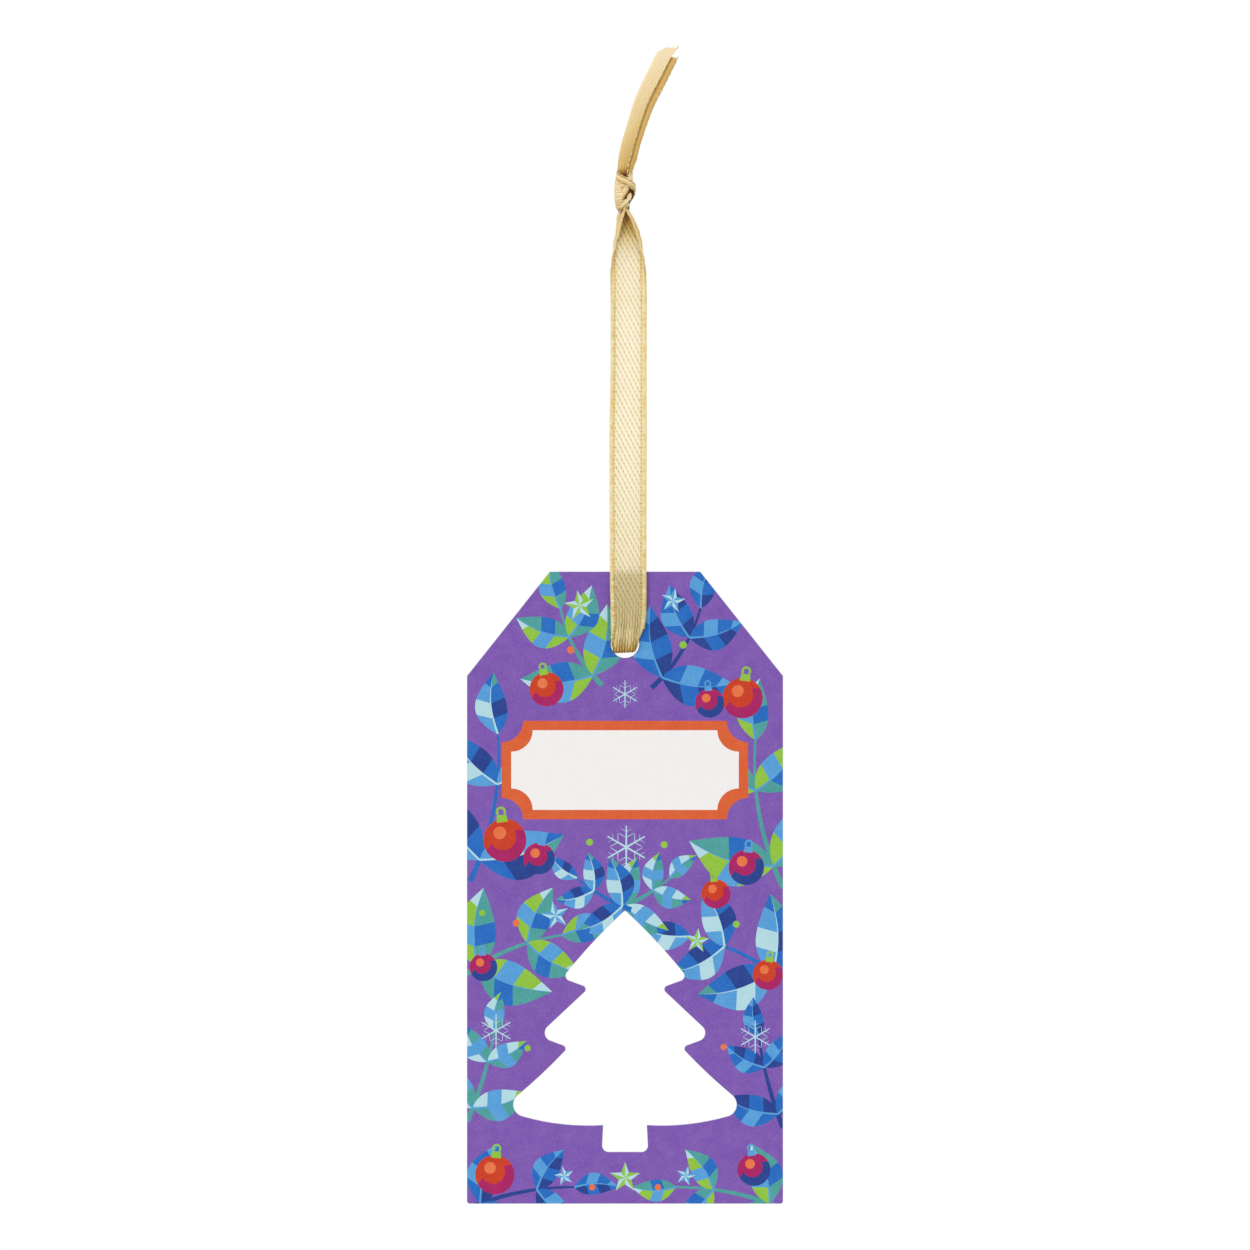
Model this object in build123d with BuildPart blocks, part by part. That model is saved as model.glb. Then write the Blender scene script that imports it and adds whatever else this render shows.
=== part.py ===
"""Gift tag: a printed card with a tree-shaped window, hung on a knotted loop of satin ribbon.

The tag hangs upright in the XZ plane and its printed face looks along -Y. The origin is the
top of the ribbon's loop, right under the knot, where a hook or a twig carries the tag.
All sizes are in millimetres.
"""

import os
from math import cos, radians, sin, sqrt

from build123d import *

# Card
card_width = 50.0
card_height = 100.0
card_thickness = 0.5
shoulder_across = 13.1
shoulder_down = 16.5
corner_radius = 0.4
hole_diameter = 4.5
hole_below_top = 11.4

# Window in the card: a tree of three tiers on a trunk, given by its corners before rounding
tree_above_edge = 8.2
trunk_height = 4.25
trunk_top_width = 6.9
trunk_foot_width = 7.3
trunk_radius = 1.0
lower_tier_width = 39.3
lower_tier_droop = 2.55
lower_tier_height = 9.75
lower_tier_radius = 1.9
lower_flank_hollow = 0.3
skirt_sag = 0.9
lower_notch_width = 17.9
middle_tier_width = 27.6
middle_tier_droop = 1.8
middle_tier_height = 7.6
middle_tier_radius = 1.3
upper_notch_width = 11.4
upper_tier_width = 19.8
upper_tier_droop = 1.55
upper_tier_height = 10.7
upper_tier_radius = 0.8
upper_flank_swell = 0.3
notch_radius = 0.6
apex_radius = 0.35

# Ribbon
ribbon_width = 6.0
ribbon_thickness = 0.3
ribbon_clearance = 0.3
bight_drop = 1.2
bight_clearance = 0.13
bight_edge_radius = 0.2
lap_taper_length = 5.5
loop_drift = 0.5
fold_above_card = 13.9
fold_length = 12.0
leg_length = 17.0
neck_length = 14.0
neck_shoulder_below_knot = 4.5
neck_shoulder_width = 4.7
neck_shoulder_depth = 0.7
neck_top_width = 2.6
neck_top_depth = 0.95
neck_foot_depth = 0.05
neck_gap = 0.2

# Knot
knot_height = 6.0
knot_drift = -0.15
knot_core_width = 3.0
knot_core_depth = 3.0
knot_end_width = 2.8
knot_end_depth = 2.7
knot_band_width = 3.3
knot_band_depth = 3.4
knot_band_height = 1.9
knot_band_radius = 0.45
knot_band_spacing = 1.5
knot_band_tilt = 24.0

# Tails above the knot
tail_length = 21.2
tail_bend_radius = 55.0
tail_lean = 9.0
tail_foot_width = 2.0
tail_width = 2.9
tail_foot_crown = 0.5
tail_crown = 0.8
tail_gap = 0.2
tail_stagger = 0.6
tail_cut_angle = 10.0
tail_sections = 5

# Heights, from the origin under the knot down to the card's lower edge
leg_top = -neck_length
fold_top = leg_top - leg_length
lap_top = fold_top - fold_length
card_top = lap_top - fold_above_card
card_bottom = card_top - card_height
hole_height = card_top - hole_below_top
bight_bottom = hole_height - bight_drop
lap_bottom = bight_bottom + ribbon_thickness

# The ribbon's two layers lie clear of the card's faces
ribbon_inner = card_thickness / 2 + ribbon_clearance
ribbon_outer = ribbon_inner + ribbon_thickness
layers = {"front": -1, "back": 1}

# The bight is squeezed to the chord that the round hole leaves at its underside
bight_width = 2 * sqrt((hole_diameter / 2 - bight_clearance) ** 2 - bight_drop**2)

os.makedirs("parts", exist_ok=True)


def save(piece, name):
    piece.part.label = name
    export_step(piece.part, f"parts/{name}.step")


def layer_plane(side):
    """The XZ plane that a strip of the front or back layer is drawn on and extruded from."""
    return Plane.XZ.offset(ribbon_inner if side < 0 else -ribbon_outer)


def strip(name, side, top, length):
    """A flat, straight stretch of one layer of the ribbon."""
    with BuildPart() as stretch:
        with BuildSketch(layer_plane(side)):
            with Locations((loop_drift, top - length / 2)):
                Rectangle(ribbon_width, length)
        extrude(amount=ribbon_thickness)
    save(stretch, name)


def curled_section(drift, half_width, depth, middle, side):
    """Outline across a curled ribbon: its middle lies at (drift, middle), its edges lean to the side."""
    left = drift - half_width
    right = drift + half_width
    inner = middle - side * ribbon_thickness / 2
    outer = middle + side * ribbon_thickness / 2
    edge_inner = inner + side * depth
    edge_outer = outer + side * depth
    with BuildLine() as outline:
        ThreePointArc((left, edge_inner), (drift, inner), (right, edge_inner))
        Line((right, edge_inner), (right, edge_outer))
        ThreePointArc((right, edge_outer), (drift, outer), (left, edge_outer))
        Line((left, edge_outer), (left, edge_inner))
    make_face(outline.edges())


# Card: die-cut board with bevelled shoulders, a ribbon hole and the tree window
foot = card_bottom + tree_above_edge
skirt = foot + trunk_height
lower_tip = skirt + lower_tier_droop
lower_notch = lower_tip + lower_tier_height
middle_tip = lower_notch + middle_tier_droop
upper_notch = middle_tip + middle_tier_height
upper_tip = upper_notch + upper_tier_droop
apex = upper_tip + upper_tier_height
trunk_corner = (trunk_foot_width / 2, foot)
skirt_corner = (trunk_top_width / 2, skirt)
lower_corner = (lower_tier_width / 2, lower_tip)
lower_notch_corner = (lower_notch_width / 2, lower_notch)
middle_corner = (middle_tier_width / 2, middle_tip)
upper_notch_corner = (upper_notch_width / 2, upper_notch)
upper_corner = (upper_tier_width / 2, upper_tip)

with BuildPart() as tag_card:
    with BuildSketch(Plane.XZ) as card_outline:
        with BuildLine():
            Polyline(
                (-card_width / 2, card_bottom),
                (card_width / 2, card_bottom),
                (card_width / 2, card_top - shoulder_down),
                (card_width / 2 - shoulder_across, card_top),
                (shoulder_across - card_width / 2, card_top),
                (-card_width / 2, card_top - shoulder_down),
                close=True,
            )
        make_face()
        fillet(card_outline.vertices().group_by(Axis.Y)[0], corner_radius)
        with Locations((0, hole_height)):
            Circle(hole_diameter / 2, mode=Mode.SUBTRACT)
    extrude(amount=card_thickness / 2, both=True)
    with BuildSketch(Plane.XZ) as tree_outline:
        with BuildLine():
            Line((0, foot), trunk_corner)
            Line(trunk_corner, skirt_corner)
            SagittaArc(skirt_corner, lower_corner, -skirt_sag)
            SagittaArc(lower_corner, lower_notch_corner, lower_flank_hollow)
            Line(lower_notch_corner, middle_corner)
            Line(middle_corner, upper_notch_corner)
            Line(upper_notch_corner, upper_corner)
            SagittaArc(upper_corner, (0, apex), -upper_flank_swell)
            mirror(about=Plane.YZ)
        make_face()
        rounded_corners = (
            (trunk_corner, trunk_radius),
            (lower_corner, lower_tier_radius),
            (lower_notch_corner, notch_radius),
            (middle_corner, middle_tier_radius),
            (upper_notch_corner, notch_radius),
            (upper_corner, upper_tier_radius),
            ((0, apex), apex_radius),
        )
        for (across, height), radius in rounded_corners:
            right = tree_outline.vertices().sort_by_distance((across, height))[0]
            fillet(right, radius)
            if across > 0:
                left = tree_outline.vertices().sort_by_distance((-across, height))[0]
                fillet(left, radius)
    extrude(amount=card_thickness, both=True, mode=Mode.SUBTRACT)
save(tag_card, "tag_card")

# Bight: the ribbon's turn through the hole, from the front of the card to its back
with BuildPart() as ribbon_bight:
    with BuildSketch(Plane.XY.offset(bight_bottom)):
        Rectangle(bight_width, 2 * ribbon_outer)
    extrude(amount=ribbon_thickness)
    fillet(ribbon_bight.edges().filter_by(Axis.X).group_by(Axis.Z)[0], bight_edge_radius)
save(ribbon_bight, "ribbon_bight")

# Laps, folds, legs and necks: the loop's two layers, from the hole up to the knot
for layer, side in layers.items():
    with BuildPart() as ribbon_lap:
        with BuildSketch(layer_plane(side)):
            with BuildLine():
                Polyline(
                    (-bight_width / 2, lap_bottom),
                    (bight_width / 2, lap_bottom),
                    (loop_drift + ribbon_width / 2, lap_bottom + lap_taper_length),
                    (loop_drift + ribbon_width / 2, lap_top),
                    (loop_drift - ribbon_width / 2, lap_top),
                    (loop_drift - ribbon_width / 2, lap_bottom + lap_taper_length),
                    close=True,
                )
            make_face()
        extrude(amount=ribbon_thickness)
    save(ribbon_lap, f"ribbon_{layer}_lap")

    strip(f"ribbon_{layer}_fold", side, fold_top, fold_length)
    strip(f"ribbon_{layer}_leg", side, leg_top, leg_length)

    # The neck's edges curl outwards, away from the other layer, as the knot draws them together
    foot_middle = side * (ribbon_inner + ribbon_thickness / 2)
    top_middle = side * (neck_gap / 2 + ribbon_thickness / 2)
    shoulder_share = neck_shoulder_below_knot / neck_length
    shoulder_middle = top_middle + (foot_middle - top_middle) * shoulder_share
    with BuildPart() as ribbon_neck:
        with BuildSketch(Plane.XY.offset(leg_top)):
            curled_section(loop_drift, ribbon_width / 2, neck_foot_depth, foot_middle, side)
        with BuildSketch(Plane.XY.offset(-neck_shoulder_below_knot)):
            curled_section(
                loop_drift, neck_shoulder_width / 2, neck_shoulder_depth, shoulder_middle, side
            )
        with BuildSketch(Plane.XY):
            curled_section(knot_drift, neck_top_width / 2, neck_top_depth, top_middle, side)
        loft(ruled=True)
    save(ribbon_neck, f"ribbon_{layer}_neck")

# Knot: an overhand knot in both layers at once, a core under two crossing wraps
with BuildPart() as ribbon_knot:
    for height, width, depth in (
        (0, knot_end_width, knot_end_depth),
        (knot_height / 2, knot_core_width, knot_core_depth),
        (knot_height, knot_end_width, knot_end_depth),
    ):
        with BuildSketch(Plane((knot_drift, 0, height))):
            Ellipse(width / 2, depth / 2)
    loft()
    for turn in (-1, 1):
        wrap_height = knot_height / 2 + turn * knot_band_spacing / 2
        wrap_tilt = radians(turn * knot_band_tilt)
        wrap_plane = Plane(
            origin=(knot_drift, 0, wrap_height),
            x_dir=(cos(wrap_tilt), 0, -sin(wrap_tilt)),
            z_dir=(sin(wrap_tilt), 0, cos(wrap_tilt)),
        )
        with BuildPart(mode=Mode.PRIVATE) as wrap:
            with BuildSketch(wrap_plane):
                Ellipse(knot_band_width / 2, knot_band_depth / 2)
            extrude(amount=knot_band_height / 2, both=True)
            fillet(wrap.edges(), knot_band_radius)
        add(wrap.part)
save(ribbon_knot, "ribbon_knot")

# Tails: the two cut ends, which stand up from the knot and bend over to the right
tail_start = radians(tail_lean)
tail_root_drop = tail_foot_width * sin(tail_start)


def tail_point(distance, stagger):
    """Place and lean of the tails' middle line, at a distance along it from the knot."""
    lean = tail_start + distance / tail_bend_radius
    across = stagger + tail_bend_radius * (cos(tail_start) - cos(lean))
    height = knot_height + tail_bend_radius * (sin(lean) - sin(tail_start))
    return (across, 0, height), lean


for layer, side in layers.items():
    stagger = knot_drift + side * tail_stagger / 2
    with BuildPart() as ribbon_tail:
        for station in range(tail_sections):
            share = station / (tail_sections - 1)
            distance = share * (tail_length + tail_width) - tail_root_drop
            place, lean = tail_point(distance, stagger)
            section_plane = Plane(
                origin=place,
                x_dir=(cos(lean), 0, -sin(lean)),
                z_dir=(sin(lean), 0, cos(lean)),
            )
            width = tail_foot_width + (tail_width - tail_foot_width) * share
            crown = tail_foot_crown + (tail_crown - tail_foot_crown) * share
            crown_middle = side * (tail_gap / 2 + crown + ribbon_thickness / 2)
            with BuildSketch(section_plane):
                curled_section(0, width / 2, crown, crown_middle, -side)
        loft(ruled=True)
        split(bisect_by=Plane.XY.offset(knot_height), keep=Keep.TOP)
        cut_place = tail_point(tail_length, stagger)[0]
        cut_rise = radians(tail_cut_angle)
        cut_plane = Plane(
            origin=cut_place,
            x_dir=(cos(cut_rise), 0, sin(cut_rise)),
            z_dir=(-sin(cut_rise), 0, cos(cut_rise)),
        )
        split(bisect_by=cut_plane, keep=Keep.BOTTOM)
    save(ribbon_tail, f"ribbon_{layer}_tail")
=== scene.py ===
import math

import bpy
import numpy as np
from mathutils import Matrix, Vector
from mathutils.geometry import delaunay_2d_cdt


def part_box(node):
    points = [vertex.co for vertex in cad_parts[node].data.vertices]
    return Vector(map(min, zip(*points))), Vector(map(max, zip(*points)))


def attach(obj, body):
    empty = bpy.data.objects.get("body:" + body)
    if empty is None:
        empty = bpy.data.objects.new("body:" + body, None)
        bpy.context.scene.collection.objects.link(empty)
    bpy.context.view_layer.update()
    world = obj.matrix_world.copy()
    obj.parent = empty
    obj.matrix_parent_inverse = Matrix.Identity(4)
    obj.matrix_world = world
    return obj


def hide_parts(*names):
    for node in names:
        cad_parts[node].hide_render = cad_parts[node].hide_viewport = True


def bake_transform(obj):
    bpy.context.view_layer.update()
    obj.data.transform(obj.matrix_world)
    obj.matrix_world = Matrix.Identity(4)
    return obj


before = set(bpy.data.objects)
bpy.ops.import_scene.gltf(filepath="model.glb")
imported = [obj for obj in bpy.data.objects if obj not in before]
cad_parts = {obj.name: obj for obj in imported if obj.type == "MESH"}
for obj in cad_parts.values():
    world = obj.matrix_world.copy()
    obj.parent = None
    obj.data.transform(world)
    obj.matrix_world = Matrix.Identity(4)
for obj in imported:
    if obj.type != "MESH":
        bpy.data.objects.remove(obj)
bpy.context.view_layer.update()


# The stage: the tag hangs in front of a white surround, as on a shop page, over a
# small pale floor that lies below the picture. Two large soft lamps stand in front,
# the stronger one high on the left, and a narrow spot behind lights the free ribbon.

mm = 0.001
scene = bpy.context.scene
picture_middle = Vector((0, 0, -65.35 * mm))
picture_width = 197.8 * mm
camera_distance = 1.0
sensor_width = 36


def plug(tree, node, inputs):
    """Link a node's inputs to sockets, or set them to values."""
    for socket, value in inputs.items():
        if isinstance(value, bpy.types.NodeSocket):
            tree.links.new(value, node.inputs[socket])
        else:
            node.inputs[socket].default_value = value


def add_node(tree, kind, inputs=None, **settings):
    """A new node with its settings and its inputs."""
    node = tree.nodes.new(kind)
    for name, value in settings.items():
        setattr(node, name, value)
    plug(tree, node, inputs or {})
    return node


def maths(tree, operation, *values):
    """The result of a maths node on values or sockets."""
    return add_node(tree, "ShaderNodeMath", dict(enumerate(values)), operation=operation).outputs[0]


def ramp(tree, value, low, high, start=0.0, end=1.0, shape="SMOOTHSTEP"):
    """A step from start to end while a value goes from low to high."""
    return add_node(
        tree,
        "ShaderNodeMapRange",
        {"Value": value, "From Min": low, "From Max": high, "To Min": start, "To Max": end},
        interpolation_type=shape,
    ).outputs[0]


def new_object(name, data):
    made = bpy.data.objects.new(name, data)
    scene.collection.objects.link(made)
    return made


def new_finish(name):
    """A new material, with its node tree and its main shader."""
    finish = bpy.data.materials.new(name)
    finish.use_nodes = True
    return finish, finish.node_tree, finish.node_tree.nodes["Principled BSDF"]


def hang_lamp(lamp, place, target):
    """Put a lamp at a place and turn it to a target."""
    stand = new_object(lamp.name, lamp)
    stand.location = place
    stand.rotation_euler = (target - stand.location).to_track_quat("-Z", "Y").to_euler()


camera_lens = bpy.data.cameras.new("camera")
camera_lens.sensor_width = sensor_width
camera_lens.lens = sensor_width * camera_distance / picture_width
camera = new_object("camera", camera_lens)
camera.location = picture_middle - Vector((0, camera_distance, 0))
camera.rotation_euler = (math.radians(90), 0, 0)
scene.camera = camera
scene.view_settings.view_transform = "Standard"

light_below = 0.3
light_above = 0.95
light_behind = 0.35
white = (1, 1, 1, 1)
surround = bpy.data.worlds.new("white_surround")
surround.use_nodes = True
sky_tree = surround.node_tree
sky_tree.nodes.clear()
sky_way = add_node(sky_tree, "ShaderNodeTexCoord").outputs["Generated"]
sky_parts = add_node(sky_tree, "ShaderNodeSeparateXYZ", {0: sky_way}).outputs
sky_height = ramp(sky_tree, sky_parts[2], -0.9, 0.6, light_below, light_above, "LINEAR")
sky_depth = ramp(sky_tree, sky_parts[1], 0.0, 0.8, 0.0, light_behind, "LINEAR")
sky_level = maths(sky_tree, "ADD", sky_height, sky_depth)
glow = add_node(sky_tree, "ShaderNodeBackground", {"Color": white, "Strength": sky_level})
backdrop = add_node(sky_tree, "ShaderNodeBackground", {"Color": white})
seen_direct = add_node(sky_tree, "ShaderNodeLightPath").outputs["Is Camera Ray"]
either = add_node(
    sky_tree, "ShaderNodeMixShader", {0: seen_direct, 1: glow.outputs[0], 2: backdrop.outputs[0]}
)
add_node(sky_tree, "ShaderNodeOutputWorld", {"Surface": either.outputs[0]})
scene.world = surround

for lamp_name, lamp_place, lamp_size, lamp_power in (
    ("key_lamp", (-0.7, -0.9, 0.5), 0.6, 5.5),
    ("fill_lamp", (0.9, -0.8, -0.1), 0.9, 2.0),
):
    lamp = bpy.data.lights.new(lamp_name, "AREA")
    lamp.size = lamp_size
    lamp.energy = lamp_power
    hang_lamp(lamp, lamp_place, picture_middle)

rim_lamp = bpy.data.lights.new("rim_lamp", "SPOT")
rim_lamp.energy = 78
rim_lamp.color = (0.9, 0.95, 1.0)
rim_lamp.spot_size = math.radians(3.3)
rim_lamp.spot_blend = 0.35
rim_lamp.shadow_soft_size = 0.02
free_ribbon_middle = Vector((0, 0, -0.028))
hang_lamp(rim_lamp, (0.1, 1.1, 0.3), free_ribbon_middle)

floor_radius = 0.16
floor_height = -0.30
floor_sides = 48
floor_mesh = bpy.data.meshes.new("floor")
floor_mesh.from_pydata(
    [
        (floor_radius * math.cos(turn), floor_radius * math.sin(turn), floor_height)
        for turn in (2 * math.pi * side / floor_sides for side in range(floor_sides))
    ],
    [],
    [range(floor_sides)],
)
floor_paint, floor_tree, floor_shader = new_finish("pale_floor")
plug(floor_tree, floor_shader, {"Base Color": (0.85, 0.85, 0.84, 1), "Roughness": 0.8})
floor_mesh.materials.append(floor_paint)
new_object("floor", floor_mesh)


# The card: a tag die-cut from half-millimetre white board, printed on its front with leaf
# sprigs, baubles and stars on purple, and greyer behind, painted shade against the strong light
# from behind. The cutting die leaves its edges slightly rounded, and the white core shows all round them.

card_low, card_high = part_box("tag_card")
edge_rounding = 0.06 * mm
edge_wear = 0.3


def ink(code, depth=1.0):
    """A screen colour code as linear light, made darker by depth."""
    parts = [int(code[at : at + 2], 16) / 255 for at in (0, 2, 4)]
    linear = [((part + 0.055) / 1.055) ** 2.4 if part > 0.04 else part / 12.92 for part in parts]
    return tuple(depth * part for part in linear) + (1.0,)


ink_depth = 0.9
purple = ink("8159B5", ink_depth)
navy = ink("1D3F92", ink_depth)
blue = ink("1B6CC6", ink_depth)
sky = ink("57A3DF", ink_depth)
ice = ink("B9E1EA", ink_depth)
teal = ink("4CA39F", ink_depth)
lime = ink("93C83C", ink_depth)
red = ink("D13A16", ink_depth)
orange = ink("EE7743", ink_depth)
magenta = ink("AE1463", ink_depth)
label_orange = ink("E2622E", ink_depth)
label_white = ink("FBF8F6", ink_depth)
board_white = ink("EFECE5", ink_depth)
# The back is painted greyer than the white core: painted shade to tone down the strong light from behind.
shaded_board_back = ink("D6D0C2", ink_depth)

# The print is drawn in millimetres in the plane of the card, as complex numbers:
# across from the middle of the card, and up from its bottom edge.

print_shapes = []


def stamp(outline, colour):
    print_shapes.append((np.asarray(outline), colour))


def turned(degrees):
    return np.exp(1j * np.radians(degrees))


def ring(centre, radius, count):
    return centre + radius * np.exp(2j * np.pi * np.arange(count) / count)


facet_steps = 6
vein_slant = 2
vein_half = 0.17
leaf_fullness = 0.8
leaf_bend = 0.08


def leaf(root, heading, length, width, tones, bend=leaf_bend):
    """A broad smooth leaf: on each side of its rib, flat facets between slanting side veins."""
    lit, shaded = tones
    steps = facet_steps * len(lit)
    share = np.linspace(0, 1, steps + 1)
    rib = share * length + 1j * bend * length * np.sin(np.pi * share)
    half = width / 2 * np.sin(np.pi * share**leaf_fullness)
    for side, colours in ((1, lit), (-1, shaded)):
        margin = rib + 1j * side * half
        for facet, colour in enumerate(colours):
            first, last = facet_steps * facet, facet_steps * (facet + 1)
            outer_first = first + vein_slant if facet else first
            outer_last = min(last + vein_slant, steps)
            outer = margin[outer_first : outer_last + 1][::-1]
            stamp(root + turned(heading) * np.concatenate([rib[first : last + 1], outer]), colour)
    vein_reach = vein_half * (1 - share)
    vein = np.concatenate([(rib + 1j * vein_reach)[:-2], (rib - 1j * vein_reach)[-3::-1]])
    stamp(root + turned(heading) * vein, lit[1])


stem_steps = 39
stem_half_width = 0.42
stem_taper = 0.6
first_pair_at = 0.35
pair_shrink = 0.45
pair_spread = 52
spread_loss = 10
tip_length, tip_width = 0.7, 0.65


def sprig(root, heading, length, pairs, leaf_length, leaf_width, tones, bend):
    """A bent stem with pairs of leaves and one leaf at its tip."""
    share = np.linspace(0, 1, stem_steps + 1)
    headings = heading + bend * share
    stem = root + np.concatenate([[0], np.cumsum(turned(headings[1:]))]) * length / stem_steps
    stem_half = stem_half_width * (1 - stem_taper * share) * turned(headings + 90)
    stamp(np.concatenate([stem + stem_half, (stem - stem_half)[::-1]]), tones[1][0])
    for pair in range(pairs):
        at = int((pair + first_pair_at) / pairs * stem_steps)
        size = 1 - pair_shrink * pair / pairs
        for side in (1, -1):
            way = headings[at] + side * (pair_spread - spread_loss * pair / pairs)
            leaf(stem[at], way, leaf_length * size, leaf_width * size, tones, side * leaf_bend)
    leaf(stem[-1], headings[-1], leaf_length * tip_length, leaf_width * tip_width, tones)


def bauble(centre, radius, tones, lean):
    """A hanging ball with a shaded side, a lit patch, a cap and a hanging ring."""
    dark, middle, light, metal = tones
    up = turned(90 + lean)
    around = np.radians(np.linspace(-150, 30, 20))
    shade = np.concatenate([np.exp(1j * around), (0.62 * np.exp(1j * around) + 0.18 * turned(120))[::-1]])
    stamp(ring(centre, radius, 32), middle)
    stamp(centre + radius * shade, dark)
    stamp(centre + radius * (0.42 * turned(125) + ring(0, 0.3, 16)), light)
    cap = np.array([-0.26 - 0.1j, 0.26 - 0.1j, 0.22 + 0.24j, -0.22 + 0.24j])
    stamp(centre + radius * up * 0.95 + radius * cap * up / 1j, metal)
    half_ring = np.exp(1j * np.radians(np.linspace(-40, 220, 16)))
    loop = np.concatenate([0.24 * half_ring, 0.13 * half_ring[::-1]])
    stamp(centre + radius * up * 1.34 + radius * loop * up / 1j, metal)


star_points = 5
star_waist = 0.42


def star(centre, radius, tones, lean):
    """A star in light and dark facets."""
    for point in range(star_points):
        tip = radius * turned(90 + lean + 360 * point / star_points)
        for side, colour in ((1, tones[0]), (-1, tones[1])):
            notch = star_waist * radius * turned(90 + lean + 360 * (point + side / 2) / star_points)
            stamp([centre, centre + tip, centre + notch], colour)


def snow_crystal(centre, radius, colour):
    """Six arms, each with two pairs of barbs."""
    bar = np.array([0 - 0.045j, 1 - 0.03j, 1 + 0.03j, 0 + 0.045j])
    for arm in range(6):
        way = turned(90 + 60 * arm)
        stamp(centre + radius * way * bar, colour)
        for at, reach in ((0.45, 0.4), (0.72, 0.26)):
            for side in (1, -1):
                stamp(centre + radius * way * (at + reach * bar * turned(60 * side)), colour)


blue_tones = (sky, ice, sky, blue), (blue, navy, blue, teal)
deep_tones = (blue, sky, blue, sky), (navy, blue, navy, blue)
green_tones = (lime, sky, lime, ice), (teal, blue, teal, teal)
ice_tones = (ice, sky, ice, lime), (teal, sky, teal, blue)
red_ball = (magenta, red, orange, lime)
pink_ball = (navy, magenta, orange, sky)

sprig(-24.5 + 51j, 64, 24, 2, 14.0, 7.8, blue_tones, 30)
sprig(25.0 + 50j, 116, 24, 2, 14.0, 7.8, green_tones, -30)
sprig(-3.6 + 82.0j, 136, 14, 2, 11.5, 6.4, green_tones, -34)
sprig(4.2 + 81.6j, 42, 15, 2, 11.5, 6.4, deep_tones, 32)
sprig(-25.5 + 36j, 38, 17, 2, 12.5, 7.0, green_tones, -30)
sprig(25.5 + 35j, 140, 17, 2, 12.5, 7.0, blue_tones, 28)
sprig(-25.0 + 13j, 66, 15, 2, 9.0, 5.0, ice_tones, 14)
sprig(25.0 + 12j, 112, 15, 2, 9.0, 5.0, deep_tones, -14)
sprig(-25.5 - 1j, 24, 18, 2, 10.0, 5.4, deep_tones, -24)
sprig(25.5 - 1j, 156, 18, 2, 10.0, 5.4, green_tones, 24)
sprig(-1.5 + 46.5j, 20, 10, 2, 8.0, 4.4, ice_tones, 20)
sprig(1.0 + 46.5j, 160, 10, 2, 8.0, 4.4, blue_tones, -20)

label_across = 39.0
label_high = 15.6
label_middle = 0 + 68.6j
label_border = 1.5
label_scoop = 3.4


def scooped_label(across, high, scoop):
    """A label whose corners are scooped out."""
    quarter = np.exp(1j * np.radians(np.linspace(0, 90, 9)))
    corners = []
    for turn, corner in ((180, 1 + 1j), (270, -1 + 1j), (0, -1 - 1j), (90, 1 - 1j)):
        place = corner.real * across / 2 + 1j * corner.imag * high / 2
        corners.append(place + scoop * (quarter * turned(turn))[::-1])
    return label_middle + np.concatenate(corners)


stamp(scooped_label(label_across, label_high, label_scoop), label_orange)
stamp(
    scooped_label(label_across - 2 * label_border, label_high - 2 * label_border, label_scoop),
    label_white,
)

for place, radius, tones, lean in (
    (-19.0 + 57.5j, 3.4, red_ball, 8),
    (-13.6 + 54.6j, 2.5, pink_ball, -10),
    (18.6 + 80.0j, 3.2, red_ball, -8),
    (13.4 + 79.2j, 2.3, pink_ball, 6),
    (-12.4 + 81.4j, 2.7, red_ball, 10),
    (19.2 + 53.2j, 2.8, pink_ball, -6),
    (14.4 + 49.0j, 2.3, red_ball, 8),
    (-20.6 + 4.6j, 3.1, red_ball, -4),
    (20.4 + 5.4j, 2.6, pink_ball, 8),
    (-22.4 + 37.4j, 2.2, pink_ball, 4),
    (22.6 + 36.2j, 2.4, red_ball, -6),
):
    bauble(place, radius, tones, lean)

for place, radius, tones, lean in (
    (-7.2 + 94.6j, 2.5, (lime, ice), 8),
    (7.6 + 95.4j, 2.0, (sky, ice), -10),
    (-11.0 + 45.6j, 2.3, (ice, sky), 12),
    (11.4 + 41.6j, 2.0, (lime, ice), -6),
    (0.0 + 4.1j, 2.5, (lime, ice), 0),
    (-9.6 + 4.4j, 1.6, (sky, ice), 14),
    (9.6 + 4.4j, 1.6, (sky, ice), -14),
):
    star(place, radius, tones, lean)

for place, radius in ((0.2 + 56.4j, 3.4), (-20.4 + 27.4j, 2.6), (20.6 + 26.4j, 2.6), (0 + 80.6j, 2.2)):
    snow_crystal(place, radius, ice)

for place, radius, colour in (
    (-5.6 + 57.2j, 0.55, lime),
    (6.2 + 56.8j, 0.55, lime),
    (-8.6 + 87.6j, 0.6, orange),
    (9.2 + 88.4j, 0.6, lime),
    (-17.2 + 44.4j, 0.55, orange),
    (17.6 + 44.2j, 0.55, lime),
    (-22.6 + 46.0j, 0.5, lime),
    (-15.4 + 24.6j, 0.5, lime),
    (15.6 + 24.8j, 0.5, orange),
    (-5.2 + 2.6j, 0.5, orange),
    (5.2 + 2.6j, 0.5, orange),
):
    stamp(ring(place, radius, 14), colour)


def closed_loops(steps):
    """Chains of corners that follow each other, from a list of directed edges."""
    following = dict(sorted(steps))
    loops = []
    while following:
        loop = [next(iter(following))]
        while loop[-1] in following:
            loop.append(following.pop(loop[-1]))
        loops.append(loop[:-1])
    return loops


def border_steps(faces):
    """The directed edges that only one of the faces has."""
    steps = {(face[k - 1], face[k]) for face in faces for k in range(len(face))}
    return [step for step in steps if step[::-1] not in steps]


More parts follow.
